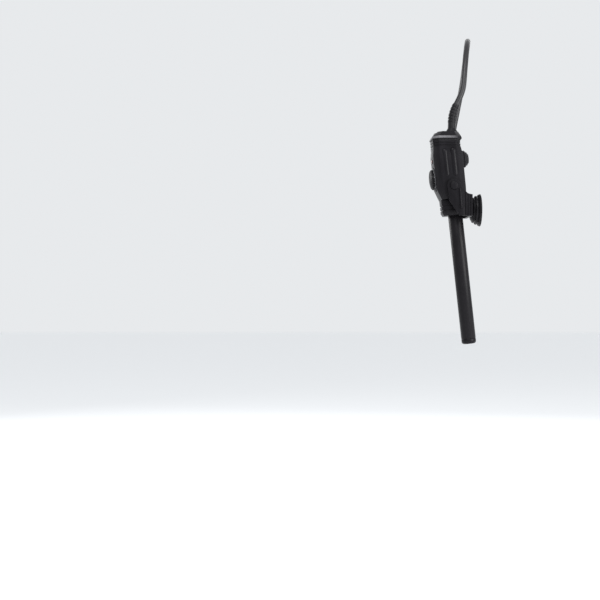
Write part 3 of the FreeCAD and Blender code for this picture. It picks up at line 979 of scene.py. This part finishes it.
@dataclass
class ControlHead:
    """Octagonal casing with its cap, gasket, strain relief, collar and spacer pad."""

    left: float = -13.3
    right: float = 9.5
    half_depth: float = 14.0
    corner: float = 4.5
    bottom: float = 12.5
    top: float = 57.4
    cap_low: float = 58.2
    cap_top: float = 64.4
    wall: float = 1.8
    mouth_depth: float = 3.0
    edge: float = 0.55
    cap_corner: float = 4.8
    collar_corner: float = 3.4
    ridge_radius: float = 2.6
    ridge_ends: tuple[float, float] = (31.0, 49.0)
    ridge_places: tuple[tuple[float, float], ...] = ((-4.6, 2.2), (1.8, 1.85))

    def build(self, palette: Palette) -> None:
        """Make the head's pieces.

        Args:
            palette: The finishes.
        """
        place = heater_place()
        Bench.fit(self._casing(), place, palette.casing, Body.HEATER, ["head_shell"], "casing")
        Bench.fit(self._cap(), place @ level_turn(), palette.cap, Body.HEATER, ["head_cap"], "casing")
        Bench.fit(self._collar(), place, palette.casing, Body.HEATER, ["tube_collar"], "casing")
        gland = Bench.cad_copy("cable_gland", "strain_relief", 0.00018)
        Bench.fit(gland, Matrix(), palette.rubber, Body.HEATER, ["cable_gland"], "soft_rubber")
        pad = Bench.cad_copy("spacer_pad", "knobbly_pad", 0.0003, 3)
        Bench.fit(pad, Matrix(), palette.rubber, Body.HEATER, ["spacer_pad"], "soft_rubber")
        Bench.dress_nodes({"cap_gasket": palette.seal})

    @staticmethod
    def _prism(name: str, low: Point, high: Point, corner: float) -> Any:
        """Add a box and cut its upright corners.

        Args:
            name: The new object's name.
            low: Lowest corner.
            high: Highest corner.
            corner: What is cut off each side of a corner.

        Returns:
            The piece, left open in edit mode.
        """
        piece = Bench.block(name, low, high)
        Bench.open(piece, Element.EDGES)
        Bench.pick(piece, Element.EDGES, lambda e: abs(e.verts[0].co.z - e.verts[1].co.z) > 1.0)
        bpy.ops.mesh.bevel(offset=corner, segments=1, affect="EDGES")
        return piece

    @staticmethod
    def _ring(piece: Any, height: float, factors: Point, centre: Point) -> None:
        """Scale the ring of vertices at one height."""
        Bench.pick(piece, Element.VERTS, lambda v: abs(v.co.z - height) < 0.05)
        Bench.resize(factors, centre)

    @staticmethod
    def _groove(piece: Any, level: float, depth: float) -> None:
        """Sink the band of upright faces at one height.

        Args:
            piece: The object in edit mode.
            level: The band's middle height.
            depth: How far it is sunk.
        """
        Bench.pick(piece, Element.FACES,
                   lambda f: abs(f.calc_center_median().z - level) < 0.2 and abs(f.normal.z) < 0.5)
        bpy.ops.mesh.inset(thickness=0.0001)
        bpy.ops.mesh.extrude_region_shrink_fatten(TRANSFORM_OT_shrink_fatten={"value": -depth})

    @staticmethod
    def _well(piece: Any, height: float, wall: float, depth: float) -> None:
        """Sink the level face at one height, inside a wall.

        Args:
            piece: The object in edit mode.
            height: The face's height.
            wall: What is left standing round it.
            depth: How far it is sunk.
        """
        Bench.pick(piece, Element.FACES, lambda f: f.normal.z > 0.9 and f.calc_center_median().z > height - 0.1)
        bpy.ops.mesh.inset(thickness=wall)
        bpy.ops.mesh.extrude_region_move(TRANSFORM_OT_translate={"value": (0, 0, -depth)})

    def _casing(self) -> Any:
        """Shape the casing: tapering chin, waist, grooves, a level top and half-round ridges.

        Returns:
            The casing, in the upright heater's millimetres.
        """
        low, high = (self.left, -self.half_depth, self.bottom), (self.right, self.half_depth, self.top)
        piece = self._prism("head_casing", low, high, self.corner)
        middle = (self.left + self.right) / 2
        chin, shoulder, waist = 20.5, 46.0, 51.5
        grooves = (52.9, 53.7, 55.0, 55.8)
        Bench.cut((chin, shoulder, waist, *grooves))
        for height in (waist, *grooves, self.top):
            self._ring(piece, height, (0.925, 0.94, 1.0), (middle + 0.35, 0, height))
        for under, over in zip(grooves[::2], grooves[1::2]):
            self._groove(piece, (under + over) / 2, 0.45)
        self._ring(piece, chin, (0.978, 1.0, 1.0), (middle, 0, chin))
        self._ring(piece, self.bottom, (0.829, 0.98, 1.0), (5.4, 0, self.bottom))
        for height in (*grooves, self.top):
            Bench.pick(piece, Element.VERTS, lambda v: abs(v.co.z - height) < 0.05)
            bpy.ops.transform.rotate(value=math.radians(LEAN_DEG), orient_axis="Y",
                                     center_override=(LEVEL_AT.x, 0, height))
        self._well(piece, self.top, self.wall, self.mouth_depth)
        Bench.close()
        return Bench.join("head_casing", [Bench.soften(piece, self.edge, 3), *self._ridges()])

    def _ridges(self) -> list[Any]:
        """Turn one half-round ridge and copy it to the front and back.

        Returns:
            The four ridges.
        """
        radius, (low, high) = self.ridge_radius, self.ridge_ends
        quarter = [math.radians(15 * i) for i in range(7)]
        rounded = [(-radius * math.cos(a), radius * math.sin(a)) for a in quarter]
        profile = [(low + z, r) for z, r in rounded] + [(high - z, r) for z, r in reversed(rounded)]
        model = Bench.turned("ridge", profile, Axis.Z, 24)
        bpy.ops.object.shade_smooth_by_angle(angle=math.radians(40))
        ridges = []
        for across, sunk in self.ridge_places:
            for side in (-1, 1):
                place = Matrix.Translation((across, side * (self.half_depth - sunk), 0))
                ridges.append(Bench.twin(model, place))
        bpy.data.objects.remove(model)
        return ridges

    def _cap(self) -> Any:
        """Shape the bevelled cap with its sloped crown and parting line.

        Returns:
            The cap, in the upright heater's millimetres, before it is levelled.
        """
        low, high = (-13.0, -14.4, self.cap_low), (10.0, 14.4, self.cap_top)
        piece = self._prism("head_cap_moulding", low, high, self.cap_corner)
        middle = (low[0] + high[0]) / 2
        lip, shoulder = self.cap_low + 0.9, self.cap_low + 2.3
        Bench.cut((lip, shoulder))
        for height in (self.cap_low, shoulder):
            self._ring(piece, height, (0.965, 0.972, 1.0), (middle, 0, height))
        self._ring(piece, self.cap_top, (0.678, 0.736, 1.0), (1.9, 0, self.cap_top))
        self._well(piece, self.cap_top, 1.0, 0.35)
        Bench.close()
        return Bench.soften(piece, 0.45, 3, 12.0)

    def _collar(self) -> Any:
        """Shape the stepped, grooved collar under the head.

        Returns:
            The collar, in the upright heater's millimetres.
        """
        low, high = (-10.4, -9.5, 0.0), (7.0, 9.5, self.bottom)
        piece = self._prism("collar_moulding", low, high, self.collar_corner)
        middle = (low[0] + high[0]) / 2
        Bench.cut((2.4, 4.0, 4.9, 7.2, 8.1))
        self._ring(piece, 0.0, (0.87, 0.9, 1.0), (middle, 0, 0))
        for level in (4.45, 7.65):
            self._groove(piece, level, 0.6)
        Bench.close()
        return Bench.soften(piece, 0.4, 2)


# ---------------------------------------------------------------- dial


@dataclass
class Dial:
    """Temperature knob, its scale ring with raised ticks, and the pilot lens."""

    centre_w: float = 29.0
    face_u: float = -13.9
    tick_count: int = 11
    tick_radius: float = 8.5
    sweep_deg: float = 270.0

    def build(self, palette: Palette) -> None:
        """Make the dial.

        Args:
            palette: The finishes.
        """
        knob = Bench.cad_copy("temperature_knob", "dial_knob", 0.00025, 3)
        Bench.fit(knob, Matrix(), palette.knob, Body.KNOB, ["temperature_knob"], "knob")
        Bench.dress_nodes({
            "knob_spindle": palette.component, "scale_ring": palette.scale,
            "indicator_lens": palette.lens, "indicator_lamp": palette.component,
        })
        Bench.fit(self._ticks(), heater_place(), palette.ticks, Body.HEATER, [], "scale")

    def _ticks(self) -> Any:
        """Model one raised mark and copy it round the knob.

        Returns:
            The marks as one piece.
        """
        model = Bench.block("tick", (-0.12, -0.2, -0.35), (0.12, 0.2, 0.35))
        out = Matrix.Translation((0, 0, self.tick_radius))
        marks = []
        for i in range(self.tick_count):
            angle = math.radians(self.sweep_deg * (i / (self.tick_count - 1) - 0.5))
            spot = Matrix.Translation((self.face_u, 0, self.centre_w)) @ Matrix.Rotation(-angle, 4, "X")
            marks.append(Bench.twin(model, spot @ out))
        bpy.data.objects.remove(model)
        return Bench.join("dial_ticks", marks)


# ---------------------------------------------------------------- heating rod


@dataclass
class HeatingRod:
    """Black tube with its end plug, and the pieces inside it."""

    radius: float = 5.6
    bottom: float = -100.0
    seam: float = -96.0
    top: float = 16.0
    bore: float = 4.6

    def build(self, palette: Palette) -> None:
        """Make the rod.

        Args:
            palette: The finishes.
        """
        place = heater_place()
        sleeve = Bench.turned("rod_sleeve", [
            (self.seam + 0.1, self.bore), (self.seam + 0.1, self.radius - 0.15),
            (self.seam + 0.35, self.radius), (self.top - 0.4, self.radius),
            (self.top, self.radius - 0.3), (self.top, self.bore),
        ], Axis.Z, 72)
        Bench.fit(self._smooth(sleeve), place, palette.tube, Body.HEATER, ["heater_tube"], "tube")
        foot = Bench.turned("rod_foot", [
            (self.bottom + 0.5, 0.0), (self.bottom + 0.5, 2.1), (self.bottom, 2.5), (self.bottom, 3.9),
            (self.bottom + 0.25, 4.7), (self.bottom + 0.8, 5.25), (self.bottom + 1.6, 5.55),
            (self.seam - 0.5, self.radius), (self.seam - 0.15, self.radius - 0.12),
            (self.seam, self.radius - 0.25), (self.seam, 0.0),
        ], Axis.Z, 72)
        Bench.fit(self._smooth(foot), place, palette.casing, Body.HEATER, ["tube_end_plug"], "casing")
        dressed = {
            "ceramic_core": palette.ceramic, "core_spacer_lower": palette.ceramic,
            "core_spacer_upper": palette.ceramic, "heating_coil": palette.wire, "lead_wires": palette.wire,
            "thermal_fuse": palette.steel, "temperature_sensor": palette.component, "tube_seal": palette.seal,
        }
        Bench.dress_nodes(dressed)

    @staticmethod
    def _smooth(piece: Any) -> Any:
        """Shade a round piece smooth up to its crisp edges.

        Args:
            piece: The object.

        Returns:
            The same object.
        """
        Bench.only(piece)
        bpy.ops.object.shade_smooth_by_angle(angle=math.radians(40))
        return piece


# ---------------------------------------------------------------- electronics


@dataclass
class Electronics:
    """Board and parts sealed inside the head."""

    def build(self, palette: Palette) -> None:
        """Dress the parts inside the head.

        Args:
            palette: The finishes.
        """
        dressed = {
            "circuit_board": palette.board, "switching_triac": palette.component,
            "smoothing_capacitor": palette.component, "terminal_block": palette.component,
            "temperature_trimmer": palette.component, "spindle_bush": palette.brass,
            "spindle_seal": palette.seal, "gland_nut": palette.brass,
        }
        Bench.dress_nodes(dressed)


# ---------------------------------------------------------------- holder


@dataclass
class WallHolder:
    """Ribbed suction cup on the wall, with its stud, the fork bracket and its pins."""

    rim: float = 12.5

    def build(self, palette: Palette) -> None:
        """Make the holder.

        Args:
            palette: The finishes.
        """
        cup = Bench.turned("ribbed_cup", [
            (-2.4, 0.0), (-2.35, 2.0), (-2.1, 4.5), (-1.2, 8.4), (-0.25, 11.1), (-0.05, 11.6),
            (0.0, 12.3), (-0.1, self.rim), (-0.6, self.rim), (-0.8, 12.4), (-1.6, 12.0), (-1.8, 11.8),
            (-2.1, 10.3), (-2.3, 10.1), (-2.6, 10.1), (-2.8, 10.3), (-3.0, 11.0), (-3.2, 11.2),
            (-4.0, 11.1), (-4.2, 10.9),
            (-4.4, 9.3), (-4.6, 9.1), (-4.9, 9.0), (-5.1, 9.1), (-5.3, 9.7), (-5.5, 9.9), (-6.2, 9.7),
            (-6.4, 9.4), (-6.6, 8.3), (-6.8, 8.2), (-7.3, 8.0), (-7.4, 7.8), (-7.4, 2.55), (-5.1, 2.5),
        ], Axis.X, 72)
        Bench.only(cup)
        bpy.ops.object.shade_smooth_by_angle(angle=math.radians(50))
        Bench.fit(cup, world_place(), palette.rubber, Body.WALL_CUP, ["lower_suction_cup"], "soft_rubber")
        Bench.dress_nodes({"cup_stud": palette.bracket})
        bracket = Bench.cad_copy("swivel_bracket", "fork_bracket", 0.0005, 3)
        Bench.fit(bracket, Matrix(), palette.bracket, Body.BRACKET, ["swivel_bracket"], "bracket")
        pins = Bench.cad_copy("pivot_pins", "fork_pins", 0.0003, 2)
        Bench.fit(pins, Matrix(), palette.bracket, Body.BRACKET, ["pivot_pins"], "bracket")


def main() -> None:
    """Build the heater around the frame."""
    logging.basicConfig(level=logging.INFO, format="%(name)s: %(message)s")
    Studio().build()
    palette = Palette()
    MainsCord().build(palette, PlugEnd().build(palette))
    ControlHead().build(palette)
    Dial().build(palette)
    HeatingRod().build(palette)
    Electronics().build(palette)
    WallHolder().build(palette)


if __name__ == "__main__":
    main()
